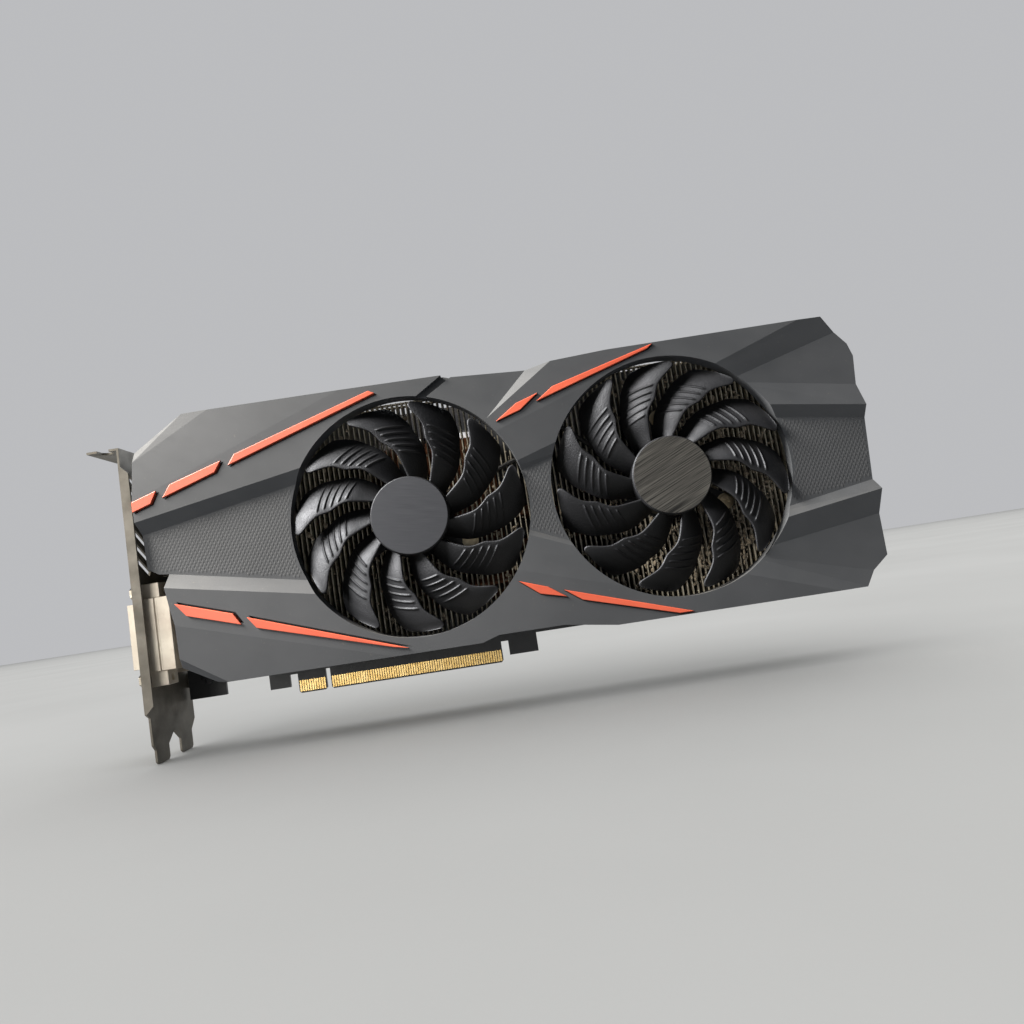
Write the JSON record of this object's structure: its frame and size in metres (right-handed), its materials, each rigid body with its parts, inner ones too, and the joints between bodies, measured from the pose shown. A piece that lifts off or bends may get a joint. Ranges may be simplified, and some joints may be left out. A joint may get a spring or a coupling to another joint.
{
  "type": "graphics card",
  "caption": "Dual-slot graphics card with a faceted dark shroud, coloured strips, axial fans over a finned heat-pipe cooler, slot bracket and gold edge connector.",
  "frame": {"origin": "on the bracket's outer face, level with the bottom of the edge contacts, in the plane of the board's fan side", "axes": "+X along the card away from the bracket, +Y from the fan side towards the backplate, +Z from the edge contacts towards the top edge"},
  "size_m": [0.2944, 0.0409, 0.1295],
  "materials": {
    "plated_steel": "satin nickel plate, scuffed",
    "dark_screw": "black oxide",
    "board": "black solder mask",
    "gold": "gold plate",
    "chip_laminate": "laminate",
    "silicon": "polished die",
    "chip_plastic": "moulded",
    "thermal_pad": "soft pad",
    "ferrite": "pressed powder",
    "can_aluminium": "drawn can",
    "ceramic": "ceramic",
    "socket_plastic": "moulded",
    "tinned_pin": "plated",
    "header_plastic": "moulded",
    "connector_steel": "nickel plate",
    "insert_plastic": "moulded",
    "nickel": "nickel plate",
    "copper": "bare copper",
    "fin_aluminium": "thin sheet, dusty",
    "shroud_plastic": "fine satin moulding",
    "strip_paint": "satin coral paint",
    "fan_plastic": "moulded",
    "bronze": "sintered bronze",
    "lamination": "stacked laminations",
    "blade_plastic": "satin black moulding",
    "shaft_steel": "ground",
    "magnet": "bonded ferrite",
    "hub_label": "dark brushed foil",
    "washer_steel": "plated",
    "lead_rubber": "insulated wire",
    "backplate_metal": "black powder coat"
  },
  "bodies": {
    "card": {"bracket": "plated_steel", "bracket_screws": "dark_screw", "circuit_board": "board", "edge_contacts": "gold", "graphics_chip_base": "chip_laminate", "graphics_chip_die": "silicon", "memory_chips": "chip_plastic", "memory_pads": "thermal_pad", "power_transistors": "chip_plastic", "power_chokes": "ferrite", "power_capacitors": "can_aluminium", "small_parts": "ceramic", "power_socket": "socket_plastic", "power_pins": "tinned_pin", "fan_headers": "header_plastic", "dvi_shell": "connector_steel", "dvi_insert": "insert_plastic", "dvi_jack_screws": "nickel", "hdmi_shell": "connector_steel", "hdmi_tongue": "socket_plastic", "displayport_shells": "connector_steel", "displayport_tongues": "socket_plastic", "cold_plate": "copper", "heat_pipes": "copper", "near_fin_stack": "fin_aluminium", "far_fin_stack": "fin_aluminium", "cooler_screws": "dark_screw", "cooler_springs": "nickel", "shroud": "shroud_plastic", "strips_upper_left": "strip_paint", "strips_lower_left": "strip_paint", "strips_upper_right": "strip_paint", "strips_lower_right": "strip_paint", "shroud_screws": "dark_screw", "left_fan_frame": "fan_plastic", "right_fan_frame": "fan_plastic", "left_bearing": "bronze", "right_bearing": "bronze", "left_stator": "lamination", "right_stator": "lamination", "left_coils": "copper", "right_coils": "copper", "fan_screws": "washer_steel", "left_fan_lead": "lead_rubber", "right_fan_lead": "lead_rubber", "backplate": "backplate_metal", "backplate_spacers": "bronze", "backplate_screws": "dark_screw"},
    "left_fan": {"left_impeller": "blade_plastic", "left_shaft": "shaft_steel", "left_magnet": "magnet", "left_hub_label": "hub_label"},
    "right_fan": {"right_impeller": "blade_plastic", "right_shaft": "shaft_steel", "right_magnet": "magnet", "right_hub_label": "hub_label"}
  },
  "joints": [
    {"name": "left_fan_spin", "type": "hinge", "parent": "card", "child": "left_fan", "pos_m": [0.10725, -0.028, 0.06245], "axis": [0, -1, 0], "continuous": true},
    {"name": "right_fan_spin", "type": "hinge", "parent": "card", "child": "right_fan", "pos_m": [0.20702, -0.028, 0.06245], "axis": [0, -1, 0], "continuous": true}
  ]
}
